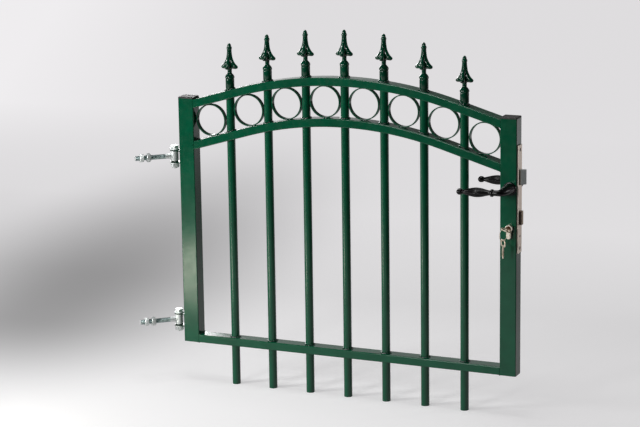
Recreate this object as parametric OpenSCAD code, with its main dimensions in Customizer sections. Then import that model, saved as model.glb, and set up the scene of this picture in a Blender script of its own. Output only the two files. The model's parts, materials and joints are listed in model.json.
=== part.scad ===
// Decorative garden gate leaf: two box stiles, a straight bottom rail and two arched rails,
// seven round bars with cast spear heads, eight flat rings between the arches, a mortise lock
// with lever handles and keys, and two adjustable eye-bolt hinges.
// +X runs from the hinge side to the lock side, -Y is the front, +Z is up.
// The origin lies on the bearing face of the lower eye bolt's inner nut.

/* [Leaf frame] */
// Overall width of the leaf across both stiles
leaf_w = 866; // [780:1:1040]
// Height of each stile tube, without its cap
stile_h = 611; // [560:1:730]
// Width of a stile across the leaf
stile_w = 40; // [36:1:50]
// Depth of stiles and rails, front to back
frame_d = 35; // [32:1:42]
// Wall of the stile tubes
stile_wall = 2; // [1.5:0.1:3]
// Height of the rail tubes
rail_h = 20; // [18:1:26]
// Wall of the rail tubes
rail_wall = 1.5; // [1.2:0.1:2.5]
// Outside corner radius of stile and rail tubes
tube_corner = 2; // [1.5:0.1:3]
// Thickness of the cap plates on the stiles
cap_t = 4; // [3:0.5:6]

/* [Arches] */
// Height of the top arch's crown above the stile tubes
arch_rise = 72; // [50:1:100]
// Outer bending radius of the top arch
arch_r = 990; // [850:5:1200]
// Half angle of the bent part; the tube runs straight beyond it
arch_half_angle = 16.4; // [12:0.1:19]
// Clear gap between the two arched rails, square to them
arch_gap = 78; // [66:1:94]

/* [Bars] */
// Number of round bars
bar_n = 7; // [5:1:9]
// Extra space between an end bar and its stile
end_extra = 3; // [0:1:20]
// Diameter of the round bars
bar_d = 20; // [16:1:22]
// Wall of the round bars
bar_wall = 1.5; // [1.2:0.1:2.5]
// Length of bar below the bottom rail
bar_foot = 100; // [40:1:120]
// Length of bar left above the top arch, under the spear head
bar_proud = 4; // [3.5:0.5:8]

/* [Spear heads] */
// Height of a cast spear head above its bar
head_h = 109; // [90:1:130]
// Span of the four leaves, tip to tip
head_span = 43.5; // [36:0.5:52]
// Diameter of the socket at the foot of the head
head_socket_d = 21; // [20:0.5:23]

/* [Rings] */
// Thickness of the ring strip
ring_t = 2.5; // [2:0.1:4]
// Width of the ring strip, front to back
ring_w = 12; // [8:1:20]

/* [Hinges] */
// Distance from the stile's face to the hinge pin
pin_out = 22; // [20:0.5:30]
// Height of the lower hinge above the bottom edge of the leaf
hinge_z_low = 50.5; // [40:0.5:80]
// Distance of the upper hinge below the top of the stile tube
hinge_drop = 147; // [100:1:200]
// Diameter of hinge pin and threaded rod
pin_d = 12; // [10:1:14]
// Outside diameter of the eye barrel
eye_d = 19; // [18:0.5:22]
// Height of the eye barrel
eye_h = 25; // [22:1:32]
// Length of the eye bolt from the pin to its tip
rod_l = 100; // [90:1:130]
// Distance from the pin to the bearing face of the inner nut
seat_l = 71; // [62:1:80]
// Gap between the two nuts that clamp the post's plate
clamp_gap = 8; // [4:1:14]
// Angle that the eye bolts are swung towards the front
rod_angle = 42; // [0:1:60]

/* [Lock] */
// Distance from the front of the face plate to spindle and cylinder
backset = 19; // [17:0.5:24]
// Distance of the handle spindle below the top of the stile tube
spindle_drop = 162; // [150:0.5:200]
// Centre distance from spindle down to lock cylinder
lock_centres = 93; // [88:1:96]
// Thickness of the face plate
plate_t = 3; // [2:0.5:4]
// Width of the face plate
plate_w = 24; // [20:1:28]
// Height of the face plate
plate_h = 254; // [240:1:290]
// Height of the face plate's centre above the spindle
plate_rise = -26.5; // [-32:0.5:-20]
// How far the latch bolt stands out of the face plate
latch_out = 13; // [9:0.5:15]
// How far the dead bolt stands out with the key turned as key_tilt has it
dead_out = 6; // [5:0.5:8]
// Length of the lock cylinder through the stile
cyl_l = 54; // [50:1:64]
// Angle of the key's bow above level, on its left
key_tilt = 20; // [0:1:30]

/* [Handles] */
// Distance from the middle of the leaf to a handle's grip
grip_out = 73; // [66:1:82]
// Length of a handle from the spindle to the ball's centre
lever_l = 102.5; // [90:0.5:120]
// Largest diameter of the fluted grip
grip_d = 22.5; // [18:0.5:26]
// Angle by which the handles droop below level
lever_droop = 1.6; // [0:0.1:4]

/* [Hidden] */
function numbered(name, n) = [for (i = [1 : n]) str(name, "_", i)];
$fn = 48;

weld_fit = 0.15;      // clearance of a bar in its rail hole
ring_fit = 0.2;       // clearance of a ring to the rails above and below it
run_fit = 0.06;       // radial running clearance of hinge pin and cylinder plug
slide_fit = 0.3;      // clearance round sliding bolts and the cylinder body
end_play = 0.5;       // clearance at each end of the eye barrel
eps = 0.01;

// Heights that follow the stile's
arch_top = stile_h + arch_rise;
hinge_z_high = stile_h - hinge_drop;
spindle_z = stile_h - spindle_drop;

green = "#0b5a43";
zinc = "#c9cdcf";
steel = "#b9b4ac";
nickel = "#cfc8b8";
black = "#1d1b1d";

// Hinge pin axis, and the origin on the lower eye bolt, in leaf coordinates
pin_x = -pin_out;
rod_dir = [-cos(rod_angle), -sin(rod_angle)];
origin_pt = [pin_x + seat_l * rod_dir[0], seat_l * rod_dir[1], hinge_z_low];

// Bars and rings: the bars are evenly spaced, and a ring is as large as the space allows
bar_pitch = (leaf_w - 2 * stile_w + bar_d - 2 * end_extra) / (bar_n + 1);
bar_x0 = leaf_w / 2 - (bar_n - 1) * bar_pitch / 2;
function bar_x(i) = bar_x0 + i * bar_pitch;
function ring_x(i) = i == 0 ? (stile_w + bar_x(0) - bar_d / 2) / 2
    : i == bar_n ? (leaf_w - stile_w + bar_x(bar_n - 1) + bar_d / 2) / 2
    : bar_x(i) - bar_pitch / 2;

// Arches share one centre; each is an arc with straight tangent ends
arch_cz = arch_top - arch_r;
lower_arch_r = arch_r - rail_h - arch_gap;
ring_r = min(arch_gap, bar_pitch - bar_d) / 2 - ring_fit;
ring_arch_r = lower_arch_r + ring_fit + ring_r;
// Height of an arch line of radius r at x
function arch_z(r, x) = let (d = abs(x - leaf_w / 2), a = r * sin(arch_half_angle))
    arch_cz + (d <= a ? sqrt(r * r - d * d)
                      : r * cos(arch_half_angle) - (d - a) * tan(arch_half_angle));

// Lock
lock_x = leaf_w + plate_t - backset;
cyl_z = spindle_z - lock_centres;
plate_z = spindle_z + plate_rise;
case_t = 18;
case_back = stile_w - stile_wall - 1;
case_low = cyl_z - 35;
case_high = spindle_z + 53;
latch_low = spindle_z + 8;
latch_h = 35;
latch_t = 14;
latch_l = 33;
latch_flat = 3.4;
dead_low = cyl_z + 6.5;
dead_h = 32;
dead_t = 12;
dead_l = 30;
dead_back = 4;
dead_notch = 3.5;
euro_r = 8.5;
euro_stem_w = 10;
euro_h = 33;
plug_r = 6.5;
spindle_w = 8;
spindle_l = 2 * (frame_d / 2 + 24);

// Keys and ring
key_t = 2.2;
bow_w = 26.5;
bow_d = 17;
bow_corner = 7.5;
bow_gap = 7;
bow_hole_w = 16;
bow_hole_d = 11;
bow_hole_corner = 4.5;
bow_rim = 2.5;
blade_w = 8;
blade_l = 21;
key_ring_r = 14.2;
key_wire_r = 0.9;
key_ring_turn = -17;
spare_turn = 43;
key_fit = 0.2;

module place() translate(-origin_pt) children();

// ---------- tubes ----------

// Rectangle w by d about the origin with round corners
module round_rect(w, d, r) {
    square([w - 2 * r, d], center = true);
    square([w, d - 2 * r], center = true);
    for (x = [-1, 1], y = [-1, 1])
        translate([x * (w / 2 - r), y * (d / 2 - r)]) circle(r);
}

// Section of a box tube
module tube_section(w, d, wall) {
    difference() {
        round_rect(w, d, tube_corner);
        square([w - 2 * wall, d - 2 * wall], center = true);
    }
}

module stile_tube(x) {
    translate([x + stile_w / 2, 0, 0])
        linear_extrude(stile_h) tube_section(stile_w, frame_d, stile_wall);
}

module hinge_stile() place() color(green) stile_tube(0);

module lock_stile() place() color(green) {
    difference() {
        stile_tube(leaf_w - stile_w);
        // slot for the lock case behind the face plate
        translate([leaf_w - stile_wall - 1, -case_t / 2 - slide_fit, case_low - slide_fit])
            cube([stile_wall + 2, case_t + 2 * slide_fit, case_high - case_low + 2 * slide_fit]);
        // spindle hole and cylinder hole, front and back
        translate([lock_x, 0, spindle_z]) rotate([90, 0, 0])
            cylinder(r = spindle_w, h = frame_d + 2, center = true);
        translate([lock_x, 0, cyl_z]) euro_profile(frame_d + 2, slide_fit);
    }
}

// Plastic cap: a chamfered plate and a spigot that plugs the tube
module stile_cap(x) {
    inner_w = stile_w - 2 * stile_wall - 2 * slide_fit;
    inner_d = frame_d - 2 * stile_wall - 2 * slide_fit;
    chamfer = 1;
    translate([x + stile_w / 2, 0, stile_h]) {
        linear_extrude(cap_t - chamfer) round_rect(stile_w, frame_d, tube_corner);
        hull() {
            translate([0, 0, cap_t - chamfer])
                linear_extrude(eps) round_rect(stile_w, frame_d, tube_corner, $fn = 16);
            linear_extrude(cap_t)
                round_rect(stile_w - 2 * chamfer, frame_d - 2 * chamfer, tube_corner, $fn = 16);
        }
        difference() {
            translate([-inner_w / 2, -inner_d / 2, -12]) cube([inner_w, inner_d, 12 + eps]);
            translate([-inner_w / 2 + 2, -inner_d / 2 + 2, -13])
                cube([inner_w - 4, inner_d - 4, 13]);
        }
    }
}

module hinge_stile_cap() place() color(black) stile_cap(0);
module lock_stile_cap() place() color(black) stile_cap(leaf_w - stile_w);

// Holes for the round bars through a rail
module bar_holes() {
    for (i = [0 : bar_n - 1])
        translate([bar_x(i), 0, -1])
            cylinder(d = bar_d + 2 * weld_fit, h = arch_top + 2);
}

module bottom_rail() place() color(green) difference() {
    translate([stile_w, 0, rail_h / 2]) rotate([90, 0, 90])
        linear_extrude(leaf_w - 2 * stile_w) tube_section(frame_d, rail_h, rail_wall);
    bar_holes();
}

// Arched tube with outer radius r: bent middle, straight ends, cut square at the stiles
module arch_rail(r) {
    mid = r - rail_h / 2;
    end_l = (leaf_w / 2 - mid * sin(arch_half_angle)) / cos(arch_half_angle) + rail_h;
    difference() {
        intersection() {
            translate([leaf_w / 2, 0, arch_cz]) rotate([90, 0, 0]) {
                rotate([0, 0, 90 - arch_half_angle])
                    rotate_extrude(angle = 2 * arch_half_angle, $fn = 180)
                        translate([mid, 0]) tube_section(rail_h, frame_d, rail_wall);
                for (s = [-1, 1])
                    rotate([0, 0, 90 + s * arch_half_angle])
                        translate([mid, 0, 0]) rotate([-90 * s, 0, 0])
                            linear_extrude(end_l) tube_section(rail_h, frame_d, rail_wall);
            }
            translate([stile_w, -frame_d, 0]) cube([leaf_w - 2 * stile_w, 2 * frame_d, 2 * arch_top]);
        }
        bar_holes();
    }
}

module upper_arch_rail() place() color(green) arch_rail(arch_r);
module lower_arch_rail() place() color(green) arch_rail(lower_arch_r);

// ---------- bars, spear heads, rings ----------

// Round tube bar: open at its foot, closed at the top under the spear head
module picket(i) place() color(green) {
    top = arch_z(arch_r, bar_x(i)) + bar_proud;
    translate([bar_x(i), 0, -bar_foot]) difference() {
        cylinder(d = bar_d, h = bar_foot + top);
        translate([0, 0, -1]) cylinder(d = bar_d - 2 * bar_wall, h = bar_foot + top - bar_wall + 1);
    }
}

// Spear head outlines as [radius, height] pairs, in shares of the leaf span and the head's height
head_stem = [[0, 0.3], [0.24, 0.3], [0.24, 0.72], [0.22, 0.83], [0.26, 0.865], [0.3, 0.9],
             [0.285, 0.93], [0.21, 0.96], [0.1, 0.985], [0, 1]];
head_leaves = [[0.1, 0.48], [0.3, 0.445], [0.55, 0.44], [0.8, 0.43], [0.94, 0.445], [1, 0.475],
               [0.9, 0.498], [0.69, 0.54], [0.48, 0.6], [0.37, 0.645], [0.3, 0.72], [0.26, 0.8],
               [0.1, 0.82]];

// Outline scaled to millimetres
function head_outline(rows) = [for (p = rows) [p[0] * head_span / 2, p[1] * head_h]];

module spear_head(i) place() color(green)
    translate([bar_x(i), 0, arch_z(arch_r, bar_x(i)) + bar_proud]) {
        bead_r = head_socket_d / 2 + 0.6;
        bead_z = 0.25 * head_h;
        // socket, bead and rounded shoulder
        cylinder(d = head_socket_d, h = bead_z + 1);
        rotate_extrude() {
            translate([0, bead_z]) square([bead_r, 0.035 * head_h]);
            translate([0, bead_z + 0.035 * head_h]) intersection() {
                circle(bead_r - 0.8);
                square(bead_r);
            }
        }
        // neck, stem, knob and tip
        rotate_extrude() polygon(head_outline(head_stem));
        // four leaves flaring from the stem, cut to points by hollows between them
        intersection() {
            rotate_extrude() polygon(head_outline(head_leaves));
            translate([0, 0, 0.4 * head_h]) linear_extrude(0.5 * head_h) leaf_star();
        }
    }

// Plan of the four leaves: blunt points on the axes, hollow between
module leaf_star() difference() {
    circle(head_span / 2 + 1);
    for (a = [45 : 90 : 315])
        rotate(a) translate([0.94 * head_span, 0]) circle(0.66 * head_span);
}

module ring(i) place() color(green)
    translate([ring_x(i), 0, arch_cz + ring_height(i)]) rotate([90, 0, 0]) difference() {
        cylinder(r = ring_r, h = ring_w, center = true, $fn = 96);
        cylinder(r = ring_r - ring_t, h = ring_w + 1, center = true, $fn = 96);
    }
function ring_height(i) = arch_z(ring_arch_r, ring_x(i)) - arch_cz;

// ---------- hinges ----------

lug_t = 3;
lug_r = 11;
lug_inside = eye_h + 2 * end_play;
hex_flats = 1.58 * pin_d;
washer_t = 2.5;
bolt_head_h = 0.65 * pin_d;
nut_h = 0.83 * pin_d;

module hex_prism(flats, h) cylinder(r = flats / sqrt(3), h = h, $fn = 6);

// U-shaped bracket welded to the stile, with two pierced lugs
module hinge_bracket(z) place() color(green) translate([0, 0, z]) {
    outer = lug_inside + 2 * lug_t;
    translate([-lug_t, -lug_r, -outer / 2]) cube([lug_t, 2 * lug_r, outer]);
    for (s = [-1, 1])
        translate([0, 0, s * (lug_inside + lug_t) / 2 - lug_t / 2]) difference() {
            linear_extrude(lug_t) {
                translate([pin_x, -lug_r]) square([pin_out - lug_t + eps, 2 * lug_r]);
                translate([pin_x, 0]) circle(lug_r);
            }
            translate([pin_x, 0, -1]) cylinder(d = pin_d + 2 * weld_fit, h = lug_t + 2);
        }
}

// Hinge pin: a bolt with washers and nut
module hinge_pin(z) place() color(zinc) translate([pin_x, 0, z]) {
    outer = lug_inside + 2 * lug_t;
    low = -outer / 2 - washer_t - nut_h - 2;
    translate([0, 0, low]) cylinder(d = pin_d, h = -low + outer / 2 + eps);
    for (s = [0, 1])
        mirror([0, 0, 1 - s]) translate([0, 0, outer / 2]) cylinder(d = 2 * pin_d, h = washer_t);
    translate([0, 0, outer / 2 + washer_t]) hex_prism(hex_flats, bolt_head_h);
    translate([0, 0, -outer / 2 - washer_t - nut_h]) hex_prism(hex_flats, nut_h);
}

// Eye bolt: bored barrel on a threaded rod with the two nuts that clamp the post's plate
module eye_bolt(z) place() color(zinc) translate([pin_x, 0, z]) rotate([0, 0, 180 + rod_angle]) {
    tip_chamfer = 1;
    difference() {
        union() {
            translate([0, 0, -eye_h / 2]) cylinder(d = eye_d, h = eye_h);
            rotate([0, 90, 0]) {
                cylinder(d = pin_d, h = rod_l - tip_chamfer);
                translate([0, 0, rod_l - tip_chamfer])
                    cylinder(d1 = pin_d, d2 = pin_d - 2 * tip_chamfer, h = tip_chamfer);
                translate([0, 0, seat_l - nut_h]) hex_prism(hex_flats, nut_h);
                translate([0, 0, seat_l + clamp_gap]) hex_prism(hex_flats, nut_h);
            }
        }
        translate([0, 0, -eye_h / 2 - 1]) cylinder(d = pin_d + 2 * run_fit, h = eye_h + 2);
    }
}

module lower_hinge_bracket() hinge_bracket(hinge_z_low);
module upper_hinge_bracket() hinge_bracket(hinge_z_high);
module lower_hinge_pin() hinge_pin(hinge_z_low);
module upper_hinge_pin() hinge_pin(hinge_z_high);
module lower_eye_bolt() eye_bolt(hinge_z_low);
module upper_eye_bolt() eye_bolt(hinge_z_high);

// ---------- lock ----------

// Euro profile of the cylinder, grown by fit, along Y about its plug axis
module euro_profile(l, fit) rotate([90, 0, 0]) linear_extrude(l, center = true) {
    stem = euro_stem_w / 2 + fit;
    circle(euro_r + fit);
    translate([-stem, -(euro_h - euro_r - euro_stem_w / 2)])
        square([2 * stem, euro_h - euro_r - euro_stem_w / 2]);
    translate([0, -(euro_h - euro_r - euro_stem_w / 2)]) circle(stem);
}

// Face plate with the lock's flat case behind it, bored for spindle, cylinder and bolts
module lock_case() place() color(steel) difference() {
    union() {
        translate([leaf_w, -plate_w / 2, plate_z - plate_h / 2]) cube([plate_t, plate_w, plate_h]);
        translate([leaf_w - case_back, -case_t / 2, case_low])
            cube([case_back + eps, case_t, case_high - case_low]);
    }
    translate([lock_x, 0, spindle_z]) rotate([90, 0, 0])
        cylinder(r = spindle_w * 0.8, h = case_t + 2, center = true);
    translate([lock_x, 0, cyl_z]) euro_profile(case_t + 2, slide_fit);
    bolt_pocket(latch_low, latch_h, latch_t, latch_l + 2);
    bolt_pocket(dead_low, dead_h, dead_t, dead_l - dead_out + dead_back + 2);
    // countersunk screw holes
    for (s = [-1, 1])
        translate([leaf_w + plate_t, 0, plate_z + s * (plate_h / 2 - 11)]) rotate([0, -90, 0]) {
            cylinder(d = 4.5, h = plate_t + 1);
            translate([0, 0, -eps]) cylinder(d1 = 9, d2 = 4.5, h = 2.2);
        }
}

// Space for a bolt: depth is measured back from the front of the face plate
module bolt_pocket(low, h, t, depth)
    translate([leaf_w + plate_t - depth, -t / 2 - slide_fit, low - slide_fit])
        cube([depth + 1, t + 2 * slide_fit, h + 2 * slide_fit]);

// Spring latch, sloped on its front so that the leaf can be pushed shut towards the front
module latch_bolt() place() color(zinc)
    translate([leaf_w + plate_t + latch_out - latch_l, 0, latch_low])
        linear_extrude(latch_h) polygon([[0, -latch_t / 2],
            [latch_l - latch_out + latch_flat, -latch_t / 2], [latch_l, latch_t / 2 - 2],
            [latch_l, latch_t / 2], [0, latch_t / 2]]);

// Dead bolt, notched behind its head so that it clears the cylinder
module dead_bolt() place() color(steel) {
    head_l = dead_out + 6.5;
    translate([leaf_w + plate_t + dead_out - dead_l, -dead_t / 2, dead_low + dead_notch])
        cube([dead_l, dead_t, dead_h - dead_notch]);
    translate([leaf_w + plate_t + dead_out - head_l, -dead_t / 2, dead_low])
        cube([head_l, dead_t, dead_h]);
}

module lock_cylinder() place() color(nickel) translate([lock_x, 0, cyl_z]) difference() {
    euro_profile(cyl_l, 0);
    rotate([90, 0, 0]) cylinder(r = plug_r + run_fit, h = cyl_l + 2, center = true);
}

module cylinder_plug() place() color(nickel) translate([lock_x, 0, cyl_z]) difference() {
    rotate([90, 0, 0]) cylinder(r = plug_r, h = cyl_l, center = true);
    rotate([0, key_tilt, 0])
        cube([blade_w + 2 * key_fit, cyl_l + 2, key_t + 2 * key_fit], center = true);
}

// Flat key in the XY plane: the middle of its oval bow is the origin, its blade points to +Y
bow_hole_y = -(bow_d / 2 - bow_rim - bow_hole_d / 2);
module flat_key() translate([0, 0, -key_t / 2]) linear_extrude(key_t) difference() {
    neck = blade_w / 2 - 0.8;
    top = bow_d / 2 + bow_gap;
    tip = top + blade_l;
    union() {
        round_rect(bow_w, bow_d, bow_corner);
        polygon([[neck, 0], [neck, top], [blade_w / 2, top], [blade_w / 2, tip - 3],
            [0, tip], [-blade_w / 2, tip - 3], [-blade_w / 2, top], [-neck, top], [-neck, 0]]);
    }
    translate([0, bow_hole_y]) round_rect(bow_hole_w, bow_hole_d, bow_hole_corner);
}

// The ring hangs from the rim of the bow, left of its middle, and the spare key from the ring
key_bow_y = -(cyl_l / 2 + bow_gap + bow_d / 2);
key_ring_off = 5;
key_ring_x = lock_x - key_ring_off * cos(key_tilt);
key_ring_y = key_bow_y - bow_d / 2 + bow_rim / 2;
bow_top_z = cyl_z + key_ring_off * sin(key_tilt) + key_t / 2 / cos(key_tilt) + key_wire_r * tan(key_tilt);
key_ring_z = bow_top_z + key_fit + key_wire_r - key_ring_r;
spare_bow_z = key_ring_z - key_ring_r + key_wire_r + key_fit - (bow_d / 2 - bow_rim);

module door_key() place() color(nickel)
    translate([lock_x, key_bow_y, cyl_z]) rotate([0, key_tilt, 0]) flat_key();

module key_ring() place() color(nickel)
    translate([key_ring_x, key_ring_y, key_ring_z]) rotate([0, 0, key_ring_turn]) rotate([0, 90, 0])
        rotate_extrude() translate([key_ring_r, 0]) circle(key_wire_r, $fn = 24);

module spare_key() place() color(nickel)
    translate([key_ring_x, key_ring_y, spare_bow_z]) rotate([0, 0, spare_turn])
        rotate([-90, 0, 0]) rotate([0, 90, 0]) flat_key();

// ---------- handles ----------

module handle_spindle() place() color(zinc)
    translate([lock_x, 0, spindle_z]) cube([spindle_w, spindle_l, spindle_w], center = true);

// Arm from the rose to the grip's axis, as [x, distance from the middle of the leaf, radius]
hub_y = frame_d / 2 + 0.5;
rose_r = 15.5;
rose_t = 4;
elbow_x = 3;
neck_r = 0.3 * grip_d;
arm = [[0, hub_y + 1, rose_r - 1.5], [0, hub_y + 0.8 * (grip_out - hub_y), neck_r + 2.4],
       [-elbow_x, grip_out, neck_r + 0.8]];
joint_proud = 0.35;

// Horn-like arm: tapered lengths between ball joints a little larger than their ends
module curved_arm() {
    for (i = [0 : len(arm) - 2]) {
        step = arm[i + 1] - arm[i];
        translate([arm[i][0], -arm[i][1], 0]) rotate([0, 0, atan2(-step[1], step[0])])
            rotate([0, 90, 0])
                cylinder(r1 = arm[i][2], r2 = arm[i + 1][2], h = norm([step[0], step[1]]));
    }
    translate([arm[1][0], -arm[1][1], 0]) sphere(arm[1][2] + joint_proud);
}

grip_bow = 110;
grip_mid = 61;
grip_flutes = 10;
flute_r = 2.4;
flute_depth = 1;
flute_twist = 9;
collar_x = 20.5;

// Right half of a disc about the origin
module half_disc(r, fn = 96) intersection() {
    circle(r, $fn = fn);
    translate([0, -r]) square([r, 2 * r]);
}

// Half outline of the grip's side: elbow, neck, collar, bulged grip and ball, along +Y
module lever_outline() {
    grip_half = lever_l - grip_mid - 4;
    translate([0, elbow_x]) half_disc(neck_r + 0.8 + joint_proud);
    translate([0, elbow_x]) square([neck_r, collar_x - elbow_x + 1]);
    translate([0, collar_x])
        polygon([[0, 0], [neck_r + 0.6, 0], [neck_r + 2.2, 1.6], [neck_r + 2.2, 5.4],
            [neck_r + 0.6, 7], [0, 7]]);
    translate([0, collar_x]) square([0.8 * neck_r, lever_l - collar_x]);
    translate([0, grip_mid]) intersection() {
        translate([grip_d / 2 - grip_bow, 0]) circle(grip_bow, $fn = 360);
        translate([0, -grip_half + 1]) square([grip_d, 2 * grip_half - 1]);
    }
    translate([0, lever_l]) half_disc(grip_d / 3);
}

// Lever along -X; the flutes in its grip are cut a little askew
module lever() difference() {
    rotate([0, -90, 0]) rotate_extrude() lever_outline();
    for (i = [0 : grip_flutes - 1])
        rotate([i * 360 / grip_flutes, 0, 0])
            translate([-grip_mid, 0, grip_d / 2 - flute_depth + flute_r])
                rotate([0, 0, flute_twist]) rotate([0, 90, 0])
                    cylinder(r = flute_r, h = lever_l - 20, center = true);
}

// Front handle about the spindle's axis: rose, arm and lever
module handle() {
    socket = spindle_w + 2 * slide_fit;
    difference() {
        union() {
            translate([0, -hub_y, 0]) rotate([90, 0, 0]) cylinder(r = rose_r, h = rose_t);
            rotate([0, -lever_droop, 0]) {
                curved_arm();
                translate([0, -grip_out, 0]) lever();
            }
        }
        // square socket for the spindle
        translate([-socket / 2, -spindle_l / 2 - slide_fit, -socket / 2])
            cube([socket, spindle_l, socket]);
    }
}

module front_handle() place() color(black)
    translate([lock_x, 0, spindle_z]) handle();
module rear_handle() place() color(black)
    translate([lock_x, 0, spindle_z]) mirror([0, 1, 0]) handle();

hinge_stile();
lock_stile();
hinge_stile_cap();
lock_stile_cap();
bottom_rail();
upper_arch_rail();
lower_arch_rail();
for (i = [1 : bar_n]) {
    picket(i - 1);
    spear_head(i - 1);
}
for (i = [1 : bar_n + 1])
    ring(i - 1);
lower_hinge_bracket();
upper_hinge_bracket();
lower_hinge_pin();
upper_hinge_pin();
lower_eye_bolt();
upper_eye_bolt();
lock_case();
lock_cylinder();
latch_bolt();
dead_bolt();
handle_spindle();
front_handle();
rear_handle();
cylinder_plug();
door_key();
key_ring();
spare_key();
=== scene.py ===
"""Looks of a decorative garden gate, built around its packed construction frame.

The frame's nodes keep their place and shape. Each gets a finish, and cast, threaded or cut
pieces that a construction model leaves plain are made here and stand for their nodes.
Lengths are in millimetres in the helpers and in metres in Blender.
"""

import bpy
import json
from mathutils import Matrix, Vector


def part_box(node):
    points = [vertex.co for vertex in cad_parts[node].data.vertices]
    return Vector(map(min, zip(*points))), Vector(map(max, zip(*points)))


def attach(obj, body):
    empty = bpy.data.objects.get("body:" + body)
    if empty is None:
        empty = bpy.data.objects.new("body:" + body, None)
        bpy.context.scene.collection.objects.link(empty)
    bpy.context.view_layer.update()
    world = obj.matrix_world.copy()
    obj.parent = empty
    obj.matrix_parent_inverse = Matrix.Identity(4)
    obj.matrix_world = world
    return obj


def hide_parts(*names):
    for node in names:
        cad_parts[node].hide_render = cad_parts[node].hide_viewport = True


bl_info = {
    "name": "Garden Gate Looks",
    "version": (1, 0, 0),
    "blender": (4, 5, 0),
    "location": "View3D > Sidebar > Gate",
    "description": "Finishes, castings, threads, welds and stage for the garden gate",
    "category": "Add Mesh",
}

import json
import math
import random

import bpy
from mathutils import Matrix, Vector

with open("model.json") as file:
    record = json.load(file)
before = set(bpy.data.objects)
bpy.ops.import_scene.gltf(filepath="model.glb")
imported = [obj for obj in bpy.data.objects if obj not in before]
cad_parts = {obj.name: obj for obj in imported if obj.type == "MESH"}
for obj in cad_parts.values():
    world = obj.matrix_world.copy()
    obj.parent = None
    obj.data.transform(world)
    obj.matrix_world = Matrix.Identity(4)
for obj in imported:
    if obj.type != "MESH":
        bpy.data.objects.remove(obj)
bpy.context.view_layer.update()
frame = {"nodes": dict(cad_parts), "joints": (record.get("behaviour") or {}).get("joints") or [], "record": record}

MM = 0.001


# ---------------------------------------------------------------- places taken from the frame

def span(node):
    """Lowest and highest corner of a frame node, in millimetres."""
    lo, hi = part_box(node)
    return Vector(lo) / MM, Vector(hi) / MM


def middle(node):
    lo, hi = span(node)
    return (lo + hi) / 2


def numbered(stem):
    """The frame's numbered nodes of this stem, in order."""
    count = sum(name.startswith(f"{stem}_") for name in frame["nodes"])
    return [f"{stem}_{i}" for i in range(1, count + 1)]


STILE_LO, STILE_HI = span("hinge_stile")
# foot of the hinge stile's outer edge, in the middle of the leaf's depth
LEAF = Vector((STILE_LO.x, middle("hinge_stile").y, STILE_LO.z))
LEAF_W = span("lock_stile")[1].x - STILE_LO.x
STILE_W = STILE_HI.x - STILE_LO.x
FRAME_D = STILE_HI.y - STILE_LO.y
RAIL_H = span("bottom_rail")[1].z - LEAF.z
MID_X = LEAF.x + LEAF_W / 2
BAR_LO, BAR_HI = span("picket_1")
BAR_R = (BAR_HI.x - BAR_LO.x) / 2
BARS = [middle(node).x for node in numbered("picket")]
RING_LO, RING_HI = span("ring_1")
RING_R = (RING_HI.x - RING_LO.x) / 2
RING_W = RING_HI.y - RING_LO.y
RINGS = [middle(node) for node in numbered("ring")]
ARCH_TOP = span("upper_arch_rail")[1].z
LOW_ARCH_TOP = span("lower_arch_rail")[1].z
# outer bending radius of the top arch, and half the angle of its bent part
ARCH_R = 990.0
HALF_ANGLE = math.radians(16.4)


def arch_z(top, x):
    """Height of an arch's outer line at x: an arc with straight tangent ends."""
    radius = ARCH_R - (ARCH_TOP - top)
    away = abs(x - MID_X)
    reach = radius * math.sin(HALF_ANGLE)
    if away <= reach:
        return top - radius + math.sqrt(radius * radius - away * away)
    return top - radius + radius * math.cos(HALF_ANGLE) - (away - reach) * math.tan(HALF_ANGLE)


# ---------------------------------------------------------------- colour and materials

# range that most of a noise texture's values lie in
NOISE_LOW, NOISE_HIGH = 0.3, 0.7


def linear(code):
    """Linear colour of a hex code written for the screen."""
    code = code.lstrip("#")
    channels = [int(code[i:i + 2], 16) / 255 for i in (0, 2, 4)]
    return (*(c / 12.92 if c <= 0.04045 else ((c + 0.055) / 1.055) ** 2.4 for c in channels), 1.0)


def add(tree, kind, inputs=None, **settings):
    """One shader node with its settings; each input takes a value or the output joined to it."""
    made = tree.nodes.new(kind)
    for key, value in settings.items():
        setattr(made, key, value)
    for key, value in (inputs or {}).items():
        if isinstance(value, bpy.types.NodeSocket):
            tree.links.new(value, made.inputs[key])
        else:
            made.inputs[key].default_value = value
    return made


def fade(start, end, first, last):
    """Inputs of a Map Range node that goes from first to last between start and end."""
    return {"From Min": start, "From Max": end, "To Min": first, "To Max": last}


def empty_material(name):
    """A new material and its node tree with nothing in it."""
    mat = bpy.data.materials.new(name)
    mat.use_nodes = True
    mat.node_tree.nodes.clear()
    return mat, mat.node_tree


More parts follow.
